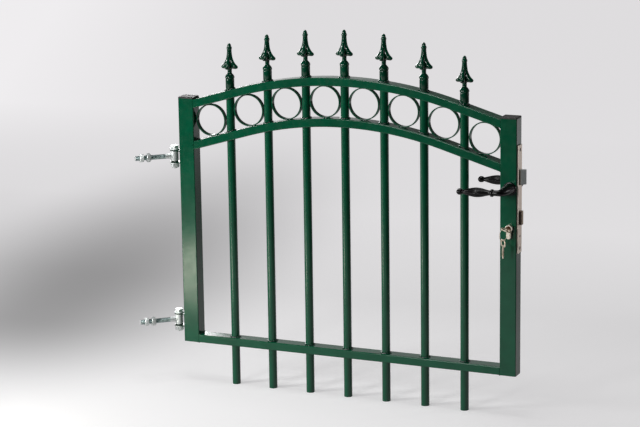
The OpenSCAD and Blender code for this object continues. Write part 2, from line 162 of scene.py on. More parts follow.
def surface(name, shader, rough, grain, tones=None, stretch=None):
    """A finish whose roughness, relief and, with tones, colour each follow their own noise.

    shader holds the values of the shader's own sockets. rough is (size, detail, least, most),
    grain is (size, detail, depth) and tones is (size, detail, dark, light), with sizes and
    depths in millimetres. stretch draws the noise out along an axis.
    """
    mat, tree = empty_material(name)
    place = add(tree, "ShaderNodeTexCoord").outputs["Object"]
    if stretch:
        place = add(tree, "ShaderNodeMapping", {"Vector": place, "Scale": stretch}).outputs["Vector"]
    signals = []
    for size, detail, *_ in filter(None, (rough, grain, tones)):
        pattern = {"Vector": place, "Scale": 1 / (size * MM), "Detail": detail}
        signals.append(add(tree, "ShaderNodeTexNoise", pattern).outputs["Fac"])
    gloss = add(tree, "ShaderNodeMapRange", {"Value": signals[0], **fade(NOISE_LOW, NOISE_HIGH, *rough[2:])})
    skin = add(tree, "ShaderNodeBump", {"Height": signals[1], "Distance": grain[2] * MM})
    inputs = {**shader, "Roughness": gloss.outputs["Result"], "Normal": skin.outputs["Normal"]}
    if tones:
        blend = add(tree, "ShaderNodeValToRGB", {"Fac": signals[2]})
        for stop, position, code in zip(blend.color_ramp.elements, (NOISE_LOW, NOISE_HIGH), tones[2:]):
            stop.position = position
            stop.color = linear(code)
        inputs["Base Color"] = blend.outputs["Color"]
    body = add(tree, "ShaderNodeBsdfPrincipled", inputs)
    add(tree, "ShaderNodeOutputMaterial", {"Surface": body.outputs["BSDF"]})
    return mat


def powder_coat(name, light, dark, rough=(0.14, 0.22), relief=0.03, gloss=0.6):
    """Thick polyester powder coat: even deep green under a glossy orange-peel skin."""
    shader = {"IOR": 1.45, "Specular IOR Level": gloss}
    return surface(name, shader, (12, 2, *rough), (2.2, 1.5, relief), (45, 3, dark, light))


def plated(name, light, dark, rough, grain=6, stretch=None, metal=1.0):
    """Plated or bare metal: mottled gloss, so edges flash and flats stay silky.

    A thin film of dust and polish, metal below 1, keeps it pale where it mirrors nothing bright.
    """
    mottle = (grain, 3)
    fine_grain = (grain / 5, 2, 0.03)
    return surface(name, {"Metallic": metal}, (*mottle, *rough), fine_grain, (*mottle, dark, light), stretch)


def painted_shade_flank_metal(name, light, dark, shade_flank_colour, node, rough, metal=0.75):
    """Plated bolt whose front flank takes a darker colour as painted shade, so that the bolt reads as two faces.
    """
    mat = plated(name, light, dark, rough, grain=5, metal=metal)
    tree = mat.node_tree
    body = tree.nodes["Principled BSDF"]
    where = add(tree, "ShaderNodeSeparateXYZ", {"Vector": add(tree, "ShaderNodeTexCoord").outputs["Object"]})
    front = span(node)[0].y
    # the front face, to half a millimetre in, takes the flank colour as painted shade; past it the metal's own
    # tone shows
    shade_flank_end = fade((front + 0.2) * MM, (front + 0.5) * MM, 0.0, 1.0)
    behind = add(tree, "ShaderNodeMapRange", {"Value": where.outputs["Y"], **shade_flank_end})
    metal_tone = body.inputs["Base Color"].links[0].from_socket
    # inputs 6 and 7 are the two colours that this node mixes, and output 2 is what they give
    mix = add(tree, "ShaderNodeMix", {"Factor": behind.outputs["Result"], 6: linear(shade_flank_colour), 7: metal_tone},
              data_type="RGBA")
    tree.links.new(mix.outputs[2], body.inputs["Base Color"])
    return mat


def lacquer(name, code):
    """Black lacquer on a casting: near-black body with a soft sheen over faint casting grain."""
    shader = {"Base Color": linear(code), "Specular IOR Level": 0.3}
    return surface(name, shader, (7, 3, 0.16, 0.26), (1.6, 2, 0.008))


def moulded(name, code, worn):
    """Moulded plastic: matt, a touch greyer on its worn high spots, with a spark-eroded grain."""
    return surface(name, {}, (5, 2, 0.42, 0.6), (0.8, 2, 0.03), (9, 2, code, worn))


def shade(name, maker, *args, **kw):
    """The material of this name, made once."""
    return bpy.data.materials.get(name) or maker(name, *args, **kw)


def powder_green():
    """The coat on tube and strip: deep green, with soft streaks of light along the round bars."""
    colours = bpy.context.scene.gate_finish
    return shade("powder_coat_green", powder_coat, colours.green, colours.green_deep)


def weld_green():
    """The same coat where it melted smooth over a weld: darker, with small sharp lights."""
    return shade("powder_coat_over_weld", powder_coat, "#003d2a", "#002719", rough=(0.08, 0.15),
                 relief=0.08, gloss=0.9)


def cast_green():
    """The same coat on the cast spear heads: dark in the hollows, bright on the petals' rims."""
    return shade("powder_coat_on_casting", powder_coat, "#004b33", "#003321", rough=(0.1, 0.18),
                 relief=0.04, gloss=0.5)


def shaded_green():
    """The same coat on the hinge plates, duller, and painted darker as shade behind the bright pins."""
    return shade("powder_coat_on_hinge_plate", powder_coat, "#003824", "#002a1a", gloss=0.3)


def bright_zinc():
    """Bright zinc plate on steel: cool, pale and softly glossy on nuts, washers and eyes."""
    return shade("bright_zinc_plating", plated, "#fbfffe", "#e3eae9", rough=(0.3, 0.42), metal=0.5)


def thread_zinc():
    """Zinc plate on a rolled thread, in a greyer tone than the bright zinc."""
    return shade("zinc_on_rolled_thread", plated, "#b4c4c3", "#7d8f8f", rough=(0.3, 0.42), metal=0.9)


def stainless():
    """Stainless steel brushed upright: warm grey, with a broad dull sheen."""
    return shade("brushed_stainless", plated, "#fff2e6", "#ead9cb", rough=(0.42, 0.52), grain=8,
                 stretch=(1.0, 1.0, 0.06), metal=0.9)


def latch_metal():
    """Nickel plate on the latch: its slope is nearly white beside the front flank, which is painted darker as
    shade.
    """
    return shade("nickel_plated_latch", painted_shade_flank_metal, "#fcffff", "#eefaf7", "#8a8377", "latch_bolt",
                 rough=(0.3, 0.4), metal=0.3)


def dead_bolt_steel():
    """Oiled steel of the dead bolt: brownish grey, with its front flank painted nearly black as shade."""
    return shade("oiled_bolt_steel", painted_shade_flank_metal, "#c4b199", "#a08d78", "#3a2f28", "dead_bolt", rough=(0.4, 0.5))


def nickel():
    """Satin nickel of the profile cylinder: warm, pale and blurred."""
    return shade("satin_nickel", plated, "#fff8ee", "#ece0ce", rough=(0.44, 0.54), grain=4, metal=0.75)


def shade_toned_nickel():
    """Nickel silver of the keys, tinted a little brown as painted shade."""
    return shade("handled_nickel_silver", plated, "#fff4e4", "#dcc6aa", rough=(0.38, 0.5), grain=5,
                 metal=0.75)


def plug_brass():
    """Brass of the cylinder's plug, its brown darkened as painted shade of its recessed face."""
    return shade("tarnished_brass", plated, "#7d5a41", "#4a2f20", rough=(0.25, 0.4), grain=4)


def browned_steel():
    """Browned steel of the lock's screws, dark against the plate."""
    return shade("browned_steel", plated, "#5a4c40", "#35291f", rough=(0.3, 0.45), grain=4)


def black_lever():
    """Black lacquer on the cast levers, with soft lights along the flutes."""
    return shade("black_lacquered_casting", lacquer, bpy.context.scene.gate_finish.lever)


def black_plastic():
    """Moulded black plastic of the stile caps, matt and a little grey where it is worn."""
    return shade("black_moulded_cap", moulded, "#141313", "#2c2a29")


# ---------------------------------------------------------------- mesh building

def circle(sides, start=0.0):
    """Angles evenly spaced round a full turn."""
    return [start + 2 * math.pi * j / sides for j in range(sides)]


class Shape:
    """Vertices in millimetres and faces, gathered piece by piece."""

    def __init__(self):
        self.verts, self.faces = [], []

    def grid(self, rows, caps=True):
        """Skin over closed rows of equal length, with the first and last row filled by caps."""
        base, n = len(self.verts), len(rows[0])
        for row in rows:
            self.verts.extend(Vector(p) for p in row)
        for k in range(len(rows) - 1):
            for j in range(n):
                a, b = base + k * n + j, base + k * n + (j + 1) % n
                self.faces.append((a, b, b + n, a + n))
        if caps:
            self.faces.append(tuple(base + j for j in reversed(range(n))))
            last = base + (len(rows) - 1) * n
            self.faces.append(tuple(last + j for j in range(n)))

    def lathe(self, profile, place=Matrix(), sides=48):
        """Body of revolution about place's Z axis from (radius, height) pairs, bottom to top."""
        self.grid([[place @ Vector((r * math.cos(a), r * math.sin(a), z)) for a in circle(sides)]
                   for r, z in profile])

    def prism(self, outline, low, high, place):
        """Outline in place's XY plane drawn from low to high."""
        self.grid([[place @ Vector((x, y, z)) for x, y in outline] for z in (low, high)])

    def tube(self, path, radius, sides=8, closed=False):
        """Round tube along a path of points; radius is a function of the step."""
        n = len(path)
        rows = []
        up = Vector((0, 0, 1))
        for i, p in enumerate(path):
            ahead = Vector(path[(i + 1) % n] if closed or i < n - 1 else path[i])
            back = Vector(path[(i - 1) % n] if closed or i > 0 else path[i])
            run = (ahead - back).normalized()
            if abs(run.dot(up)) > 0.95:
                up = Vector((1, 0, 0))
            side = run.cross(up).normalized()
            lift = side.cross(run).normalized()
            r = radius(i)
            rows.append([Vector(p) + side * (r * math.cos(a)) + lift * (r * math.sin(a))
                         for a in circle(sides)])
        if closed:
            rows.append(rows[0])
        self.grid(rows, caps=not closed)

    def piece(self, name, material, body, slot, angle=35, stands_for=()):
        """The finished object, in metres, riding on its body."""
        mesh = bpy.data.meshes.new(name)
        mesh.from_pydata([tuple(v * MM) for v in self.verts], [], self.faces)
        mesh.validate()
        mesh.update()
        mesh.materials.append(material)
        return finish_piece(name, mesh, body, angle, stands_for)


def finish_piece(name, mesh, body, angle, stands_for):
    """An object of this mesh with its shading, body and the nodes that it stands for."""
    obj = bpy.data.objects.new(name, mesh)
    bpy.context.collection.objects.link(obj)
    for poly in mesh.polygons:
        poly.use_smooth = True
    mesh.set_sharp_from_angle(angle=math.radians(angle))
    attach(obj, body)
    if stands_for:
        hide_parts(*stands_for)
    return obj


def towards(point, axis, turn=0.0):
    """Placement at a point with Z along axis, turned about it."""
    spin = Vector(axis).to_track_quat("Z", "Y").to_matrix().to_4x4()
    return Matrix.Translation(Vector(point)) @ spin @ Matrix.Rotation(turn, 4, "Z")


def joint_place(name):
    """A joint's point on its axis, in millimetres."""
    return Vector(next(j for j in frame["joints"] if j["name"] == name)["pos_m"]) / MM


# ---------------------------------------------------------------- settings

PETAL_SPAN = 43.5


class GateFinish(bpy.types.PropertyGroup):
    """Colours of the gate."""

    green: bpy.props.StringProperty(
        name="Powder coat", description="Green of the powder coat, as a hex code", default="#00583b")
    green_deep: bpy.props.StringProperty(
        name="Deep green", description="Darker green that mottles the powder coat, as a hex code",
        default="#004e34")
    lever: bpy.props.StringProperty(
        name="Levers", description="Black of the lever handles, as a hex code", default="#0f0e10")


class GateSizes(bpy.types.PropertyGroup):
    """Sizes of the pieces that the frame leaves plain."""

    petals: bpy.props.FloatProperty(
        name="Petal span", description="Span of a spear head's four petals", default=PETAL_SPAN * MM,
        min=0.03, max=0.06, unit="LENGTH", subtype="DISTANCE")
    weld: bpy.props.FloatProperty(
        name="Weld bead", description="Size that the beads round the bars are a share of", default=0.0019,
        min=0.0005, max=0.004, unit="LENGTH", subtype="DISTANCE")
    pitch: bpy.props.FloatProperty(
        name="Thread pitch", description="Pitch of the hinge rods' threads", default=0.00175,
        min=0.001, max=0.003, unit="LENGTH", subtype="DISTANCE")
    flutes: bpy.props.IntProperty(
        name="Flutes", description="Number of flutes round a lever's grip", default=10, min=6, max=20)


class GateStage(bpy.types.PropertyGroup):
    """Floor, backdrop, lamps and camera."""

    floor: bpy.props.StringProperty(
        name="Floor", description="Tint of floor and backdrop, as a hex code", default="#fffdff")
    lamps: bpy.props.FloatProperty(
        name="Lamps", description="Power that each lamp takes a share of", default=125.0, min=0.0,
        max=2000.0, subtype="POWER")
    lens: bpy.props.FloatProperty(
        name="Lens", description="Focal length of the camera", default=130.8, min=20.0, max=300.0,
        subtype="DISTANCE_CAMERA")


# ---------------------------------------------------------------- operators

class GATE_OT_finishes(bpy.types.Operator):
    """Give every node of the frame its finish."""

    bl_idname = "gate.finishes"
    bl_label = "Frame finishes"

    def execute(self, context):
        looks = {
            "hinge_stile_cap": black_plastic, "lock_stile_cap": black_plastic,
            "lower_hinge_bracket": shaded_green, "upper_hinge_bracket": shaded_green,
            "lower_hinge_pin": bright_zinc, "upper_hinge_pin": bright_zinc,
            "lower_eye_bolt": bright_zinc, "upper_eye_bolt": bright_zinc,
            "handle_spindle": bright_zinc, "latch_bolt": latch_metal, "lock_case": stainless,
            "dead_bolt": dead_bolt_steel, "lock_cylinder": nickel, "cylinder_plug": plug_brass,
            "door_key": shade_toned_nickel, "key_ring": shade_toned_nickel, "spare_key": shade_toned_nickel,
            "front_handle": black_lever, "rear_handle": black_lever,
        }
        for name, obj in frame["nodes"].items():
            obj.data.materials.clear()
            obj.data.materials.append(looks.get(name, powder_green)())
        edges = {"latch_bolt": 0.7, "dead_bolt": 0.5, "lock_case": 0.35, "lock_cylinder": 0.35,
                 "lower_hinge_bracket": 0.4, "upper_hinge_bracket": 0.4}
        for name, width in edges.items():
            soften = frame["nodes"][name].modifiers.new("soft edge", "BEVEL")
            soften.width = width * MM
            soften.segments = 2
            soften.limit_method = "ANGLE"
            soften.angle_limit = math.radians(40)
            soften.harden_normals = False
        return {"FINISHED"}


# (radius, height) up a spear head: socket, bead, shoulder and neck
SPEAR_FOOT = [(10.2, 0), (10.5, 0.5), (10.5, 21), (10.3, 22.4), (9.9, 23), (10.2, 23.6), (11.0, 24.4),
              (11.3, 26), (11.25, 27.5), (10.7, 29.4), (9.6, 31.4), (7.9, 33.6), (6.3, 35.2),
              (5.4, 36.6), (5.2, 38.2), (5.3, 41)]
# (petal radius, petal height, hollow radius, hollow height) up its four flared petals
SPEAR_PETALS = [(5.0, 40, 5.0, 40), (5.3, 43.5, 5.3, 43.5), (5.8, 46.6, 5.3, 45.6), (8.5, 47.6, 5.4, 47.2),
                (12.5, 47.2, 5.6, 49), (16.5, 46.8, 5.8, 51), (19.8, 47.8, 6.0, 53), (21.5, 50.0, 6.1, 55),
                (21.75, 52.2, 6.2, 57), (20.4, 54.2, 6.2, 58.8), (17.4, 56.6, 6.1, 60.8),
                (14.4, 59.8, 6.0, 63.2), (11.8, 63.8, 5.8, 66.4), (9.6, 68.4, 5.7, 70.2),
                (7.9, 73.4, 5.6, 74.4), (7.0, 78.5, 5.5, 79), (6.3, 84, 5.4, 84), (5.9, 89, 5.5, 89),
                (5.7, 92.3, 5.6, 92.3)]
# (radius, height) up its knob and pointed tip
SPEAR_TIP = [(5.4, 91), (5.5, 92.6), (5.8, 94.0), (6.3, 95.6), (6.5, 97.2), (6.4, 98.6), (5.9, 99.7),
             (5.2, 100.4), (4.9, 101.0), (4.8, 102.4), (4.5, 104), (3.9, 105.8), (2.9, 107.3),
             (1.7, 108.4), (0.3, 108.95)]
NECK_R = 5.3


def spear_head(swell):
    """Spear head that stands on the origin, its petals swelled from the neck."""
    head = Shape()
    head.lathe(SPEAR_FOOT, sides=64)
    rows = []
    for petal_r, petal_z, hollow_r, hollow_z in SPEAR_PETALS:
        pinch = 1.5 if petal_z < 60 else 1.9
        # a fine ridge runs up the back of each petal and down each hollow
        ridge = 0.06 * min(1.0, max(0.0, (petal_z - 53) / 8))
        row = []
        for a in circle(96):
            lobe = abs(math.cos(2 * a)) ** pinch
            r = (hollow_r + (petal_r - hollow_r) * lobe) * (1 + ridge * max(0.0, math.cos(4 * a)) ** 14)
            r = NECK_R + (r - NECK_R) * swell
            row.append((r * math.cos(a), r * math.sin(a), hollow_z + (petal_z - hollow_z) * lobe))
        rows.append(row)
    head.grid(rows)
    head.lathe(SPEAR_TIP, sides=40)
    return head


class GATE_OT_spear_heads(bpy.types.Operator):
    """Cast the seven four-petalled spear heads."""

    bl_idname = "gate.spear_heads"
    bl_label = "Spear heads"

    def execute(self, context):
        casting = spear_head(context.scene.gate_sizes.petals / (PETAL_SPAN * MM))
        for node in numbered("spear_head"):
            foot = middle(node)
            foot.z = span(node)[0].z
            head = Shape()
            head.verts = [v + foot for v in casting.verts]
            head.faces = casting.faces
            head.piece(f"cast_{node}", cast_green(), "leaf", "green_powder_coat", 50, (node,))
        return {"FINISHED"}


def weld_bars(bead):
    """Rippled beads round each bar, under and over every rail; those on top are fuller."""
    seams = [
        (lambda x: LEAF.z, 0.85), (lambda x: LEAF.z + RAIL_H, 1.4),
        (lambda x: arch_z(LOW_ARCH_TOP, x) - RAIL_H, 0.85), (lambda x: arch_z(LOW_ARCH_TOP, x), 1.4),
        (lambda x: arch_z(ARCH_TOP, x) - RAIL_H, 0.85), (lambda x: arch_z(ARCH_TOP, x), 1.6),
    ]
    ripples, steps = 14, 56
    dice = random.Random(7)
    beads = Shape()
    for x in BARS:
        for height, share in seams:
            size = bead * share
            phase = dice.random() * 6
            r = BAR_R + size * 0.25
            places = [(x + r * math.cos(a), LEAF.y + r * math.sin(a)) for a in circle(steps)]
            thick = [size * (1 + 0.14 * math.sin(ripples * a + phase) + dice.uniform(-0.07, 0.07))
                     for a in circle(steps)]
            beads.tube([(px, py, height(px)) for px, py in places], lambda i: thick[i], 10, closed=True)
    beads.piece("bar_weld_beads", weld_green(), "leaf", "green_powder_coat", 60)


def weld_rings():
    """Short beads on both edges of each ring, where it touches the arches over and under it."""
    run = (-6.5, -4.5, -2.5, 0, 2.5, 4.5, 6.5)
    thick = (0.5, 1.1, 1.5, 1.55, 1.5, 1.1, 0.5)
    beads = Shape()
    for centre in RINGS:
        slope = math.atan2(arch_z(ARCH_TOP, centre.x + 5) - arch_z(ARCH_TOP, centre.x - 5), 10)
        along = Vector((math.cos(slope), 0, math.sin(slope)))
        for side in (-1, 1):
            out = Vector((-math.sin(slope), 0, math.cos(slope))) * side
            for edge in (-1, 1):
                base = centre + out * (RING_R - 0.4) + Vector((0, edge * (RING_W / 2 - 0.3), 0))
                beads.tube([base + along * t - out * (0.012 * t * t) for t in run], lambda i: thick[i])
    beads.piece("ring_weld_beads", weld_green(), "leaf", "green_powder_coat", 60)


def weld_frame():
    """Straight beads where rails meet stiles, and hinge brackets meet the hinge stile."""
    beads = Shape()
    half = FRAME_D / 2 - 0.8
    tops = (lambda x: LEAF.z + RAIL_H, lambda x: arch_z(LOW_ARCH_TOP, x), lambda x: arch_z(ARCH_TOP, x))
    for top in tops:
        for side in (-1, 1):
            x = MID_X + side * (LEAF_W / 2 - STILE_W)
            for z in (top(x), top(x) - RAIL_H):
                path = [(x, LEAF.y + half * t / 12, z) for t in range(-12, 13)]
                beads.tube(path, lambda i: 1.5 + 0.2 * math.sin(i * 1.9))
    for node in ("lower_hinge_bracket", "upper_hinge_bracket"):
        lo, hi = span(node)
        for y in (lo.y, hi.y):
            path = [(STILE_LO.x - 0.5, y, lo.z + (hi.z - lo.z) * t / 12) for t in range(13)]
            beads.tube(path, lambda i: 1.5 + 0.25 * math.sin(i * 2.1))
    beads.piece("frame_weld_beads", weld_green(), "leaf", "green_powder_coat", 60)


class GATE_OT_welds(bpy.types.Operator):
    """Lay the rippled weld beads at bars, rings, rails and hinge brackets."""

    bl_idname = "gate.welds"
    bl_label = "Weld beads"

    def execute(self, context):
        weld_bars(context.scene.gate_sizes.weld / MM)
        weld_rings()
        weld_frame()
        return {"FINISHED"}


# hinge hardware: eye barrel, the rod from it, nuts on both, and the pin bolt's washers and head
EYE_R, EYE_HALF, EYE_BORE_R = 9.5, 12.5, 6.06
ROD_R, ROD_END = 5.95, 100
THREAD_R, THREAD_START = 5.98, 24
COLLAR_R = 6.3
NUT_FLATS, NUT_H = 18.96, 9.96
CLAMP_GAP = 8
PIN_R, WASHER_R, WASHER_T, HEAD_H = 6, 12, 2.5, 7.8


def nut(shape, place, low, high, turn):
    """Hexagon nut or head with its corners turned down at both ends."""
    spot = place @ Matrix.Rotation(turn, 4, "Z")
    inner = NUT_FLATS / 2
    corner = inner / math.cos(math.pi / 6)
    rows = []
    for z, limit in ((low, inner * 0.96), (low + 0.5, inner * 1.02), (low + 1.4, corner),
                     (high - 1.4, corner), (high - 0.5, inner * 1.02), (high, inner * 0.96)):
        row = []
        for a in circle(48):
            wedge = (a + math.pi / 6) % (math.pi / 3) - math.pi / 6
            r = min(inner / math.cos(wedge), limit)
            row.append(spot @ Vector((r * math.cos(a), r * math.sin(a), z)))
        rows.append(row)
    shape.grid(rows)


def threaded_rod(place, pitch):
    """Rod with a rolled thread, from the eye bolt's plain neck to its tip."""
    rod = Shape()
    sides = 28
    start, end = THREAD_START, ROD_END - 1
    steps = int((end - start) / pitch * 4)
    # a groove's depth, and the part of each turn that stays as a flat crest
    depth, crest = 0.5185 * pitch, 0.15
    rows = []
    for k in range(steps + 1):
        z = start + (end - start) * k / steps
        run_out = min(1.0, (z - start) / pitch, (end - z) / pitch + 0.3)
        row = []
        for j, a in enumerate(circle(sides)):
            phase = ((z - start) / pitch - j / sides) % 1.0
            cut = max(0.0, abs(phase - 0.5) * 2 - crest) / (1 - crest)
            r = THREAD_R - depth * cut * run_out
            row.append(place @ Vector((r * math.cos(a), r * math.sin(a), z)))
        rows.append(row)
    rod.grid(rows)
    return rod


def eye_bolt(up, rod, seat):
    """Eye barrel along up, with its welded rod and the two nuts that clamp the post's plate."""
    eye = Shape()
    rim_r, rim_z = EYE_R - 0.6, EYE_HALF - 0.6
    eye.lathe([(EYE_BORE_R, -EYE_HALF), (rim_r, -EYE_HALF), (EYE_R, -rim_z), (EYE_R, rim_z),
               (rim_r, EYE_HALF), (EYE_BORE_R, EYE_HALF), (EYE_BORE_R, -EYE_HALF)], up, 56)
    eye.lathe([(6.5, 6), (6.1, 11.5), (ROD_R, 13), (ROD_R, THREAD_START)], rod, 28)
    seam = []
    for a in circle(40):
        x, y = COLLAR_R * math.sin(a), COLLAR_R * math.cos(a)
        rise = (rod.to_3x3() @ Vector((x, y, 0))).z
        seam.append(rod @ Vector((x, y, math.sqrt(EYE_R ** 2 - COLLAR_R ** 2 + rise ** 2))))
    eye.tube(seam, lambda i: 1.2 + 0.15 * math.sin(i * 2.2), closed=True)
    # a short stub carries the neck on into the start of the thread
    eye.lathe([(ROD_R - 0.05, THREAD_START - 1), (ROD_R, THREAD_START + 0.5)], rod, 28)
    eye.lathe([(5.4, ROD_END - 1.4), (5.2, ROD_END - 0.7), (4.9, ROD_END)], rod, 28)
    nut(eye, rod, seat - NUT_H, seat, 0.2)
    nut(eye, rod, seat + CLAMP_GAP, seat + CLAMP_GAP + NUT_H, 0.75)
    return eye


def hinge_bolt(up, low, top):
    """Bolt through the bracket and the eye, with a washer under its head and under its nut."""
    bolt = Shape()
    inside = top - HEAD_H - WASHER_T
    outside = inside + WASHER_T
    bolt.lathe([(PIN_R, low + 0.8), (PIN_R, outside)], up, 40)
    bolt.lathe([(PIN_R - 1, low), (PIN_R - 0.1, low + 0.9)], up, 40)
    for spot in (up, up @ Matrix.Rotation(math.pi, 4, "X")):
        bolt.lathe([(WASHER_R - 0.4, inside), (WASHER_R, inside + 0.3), (WASHER_R, outside - 0.4),
                    (WASHER_R - 0.5, outside)], spot, 48)
    nut(bolt, up, outside, top, 0.5)
    nut(bolt, up, -outside - NUT_H, -outside, 0.1)
    return bolt


class GATE_OT_hinges(bpy.types.Operator):
    """Turn the eye bolts with their threads and nuts, and the hinge pins."""

    bl_idname = "gate.hinges"
    bl_label = "Hinge hardware"

    def execute(self, context):
        pin = joint_place("gate_swing")
        for which in ("lower", "upper"):
            centre = Vector((pin.x, pin.y, middle(f"{which}_eye_bolt").z))
            mount = next(m for m in frame["record"]["mounts"] if m["name"] == f"{which}_post_seat")
            axis = Vector(mount["axis"])
            seat = (Vector(mount["pos_m"]) / MM - centre).dot(axis)
            up, rod = towards(centre, (0, 0, 1)), towards(centre, axis)
            thread = threaded_rod(rod, context.scene.gate_sizes.pitch / MM)
            thread.piece(f"{which}_rolled_thread", thread_zinc(), "post_side", "bright_zinc", 32)
            eye = eye_bolt(up, rod, seat)
            eye.piece(f"{which}_threaded_eye_bolt", bright_zinc(), "post_side", "bright_zinc", 32,
                      (f"{which}_eye_bolt",))
            low, high = span(f"{which}_hinge_pin")
            bolt = hinge_bolt(up, low.z - centre.z, high.z - centre.z)
            bolt.piece(f"{which}_hinge_bolt", bright_zinc(), "leaf", "bright_zinc", 32,
                       (f"{which}_hinge_pin",))
        return {"FINISHED"}


# (distance from the spindle's axis, radius, flute depth) along a lever: elbow, collar, grip, ball
LEVER_PROFILE = [
    (11, 6.8, 0), (20.2, 6.6, 0), (20.6, 7.5, 0), (21.4, 8.5, 0), (22.4, 8.9, 0), (25.2, 8.9, 0),
    (26.4, 8.5, 0), (27.2, 7.3, 0), (27.6, 6.0, 0), (29, 5.8, 0), (32, 6.2, 0.2), (36, 7.1, 0.5),
    (41, 8.3, 0.9), (46, 9.5, 1.3), (51, 10.5, 1.55), (56, 11.1, 1.65), (61, 11.25, 1.65), (66, 11.1, 1.6),
    (71, 10.5, 1.5), (76, 9.6, 1.3), (81, 8.4, 1.0), (86, 7.1, 0.6), (90, 6.0, 0.3), (92.5, 5.2, 0.1),
    (94.2, 4.8, 0), (95.2, 4.8, 0), (96, 5.6, 0), (97.4, 6.6, 0), (99.8, 7.3, 0), (102.5, 7.5, 0),
    (105, 7.1, 0), (107.1, 6.0, 0), (108.7, 4.2, 0), (109.7, 2.0, 0), (110, 0.3, 0)]
GRIP_R = 11.3
GRIP_MIDDLE = 61
LEVER_DROOP = 1.6


def lever_arm(shape, tilt, side, foot, reach):
    """Horn-like arm: one curve from the rose to the grip's axis, tapering all the way."""
    bend = [Vector((0, foot + 1)), Vector((0, foot + 32)), Vector((0, reach)), Vector((-12.5, reach))]
    rows = []
    for k in range(41):
        t = k / 40
        u = 1 - t
        at = bend[0] * u ** 3 + bend[1] * 3 * t * u ** 2 + bend[2] * 3 * t * t * u + bend[3] * t ** 3
        ahead = (bend[1] - bend[0]) * u ** 2 + (bend[2] - bend[1]) * 2 * t * u + (bend[3] - bend[2]) * t * t
        ahead.normalize()
        r = 6.75 + 7.2 * u ** 1.25
        row = []
        for b in circle(64):
            aside = r * math.cos(b)
            out = side * (at.y + ahead.x * aside)
            row.append(tilt @ Vector((at.x - ahead.y * aside, out, r * math.sin(b))))
        rows.append(row)
    shape.grid(rows)


def lever_grip(shape, tilt, side, reach, flutes):
    """Turned grip with its collar and ball, its flutes twisted a little along it."""
    rows = []
    for x, radius, cut in LEVER_PROFILE:
        twist = 0.16 * (x - GRIP_MIDDLE) / 30
        row = []
        for b in circle(flutes * 8):
            groove = 0.5 - 0.5 * math.cos(flutes * (b + twist))
            r = radius - cut * groove ** 0.8
            row.append(tilt @ Vector((-x, side * reach + r * math.cos(b), r * math.sin(b))))
        rows.append(row)
    shape.grid(rows)


class GATE_OT_levers(bpy.types.Operator):
    """Cast the two lever handles: rose, horn-like arm and fluted grip."""

    bl_idname = "gate.levers"
    bl_label = "Lever handles"

    def execute(self, context):
        hub = joint_place("handle_turn")
        tilt = Matrix.Translation(hub) @ Matrix.Rotation(math.radians(-LEVER_DROOP), 4, "Y")
        foot = FRAME_D / 2 + 0.5
        rose = [(14.9, foot), (15.4, foot + 0.4), (15.4, foot + 3.0), (14.9, foot + 3.8), (13.6, foot + 4.2)]
        for which, side in (("front", -1), ("rear", 1)):
            lo, hi = span(f"{which}_handle")
            reach = (hub.y - lo.y if side < 0 else hi.y - hub.y) - GRIP_R
            lever = Shape()
            lever.lathe(rose, towards(hub, (0, side, 0)), 64)
            lever_arm(lever, tilt, side, foot, reach)
            lever_grip(lever, tilt, side, reach, context.scene.gate_sizes.flutes)
            lever.piece(f"{which}_lever", black_lever(), "handles", "black_lacquer", 40,
                        (f"{which}_handle",))
        return {"FINISHED"}


# flat keys: half their thickness, the bow, the neck and the blade that starts on it
KEY_HALF = 1.08
BOW_L, BOW_W, BOW_CORNER = 26.4, 17, 7.5
EYE_L, EYE_W, EYE_CORNER, EYE_OFF = 16, 11, 4.5, -0.5
NECK_HALF, BLADE_HALF = 3.2, 4
BLADE_START, BLADE_L = 15.5, 21
# (distance along the blade, depth) of the key's cuts, and the places of its two grooves
KEY_CUTS = [(3.2, 1.4), (6.4, 2.4), (9.6, 1.1), (12.8, 2.6), (16.0, 1.8)]
KEY_GROOVES = (-1.6, 1.3)


def oval(width, depth, corner, off=0.0):
    """Outline of an oval with round corners, its middle moved off along Y."""
    return [(math.copysign(width / 2 - corner, math.cos(a)) + corner * math.cos(a),
             math.copysign(depth / 2 - corner, math.sin(a)) + corner * math.sin(a) + off)
            for a in circle(64, math.pi / 64)]


def blade_outline():
    """Outline of a profile key's blade towards +Y from its shoulder, with its cuts on one edge."""
    out = [(-BLADE_HALF, 0), (BLADE_HALF, 0), (BLADE_HALF, 0.8)]
    for along, deep in KEY_CUTS:
        out += [(BLADE_HALF - max(deep - 1.4, 0.2), along - 1.7), (BLADE_HALF - deep, along - 0.9),
                (BLADE_HALF - deep, along + 0.9)]
    return out + [(0.4, BLADE_L), (-1.4, BLADE_L), (-BLADE_HALF, BLADE_L - 3)]


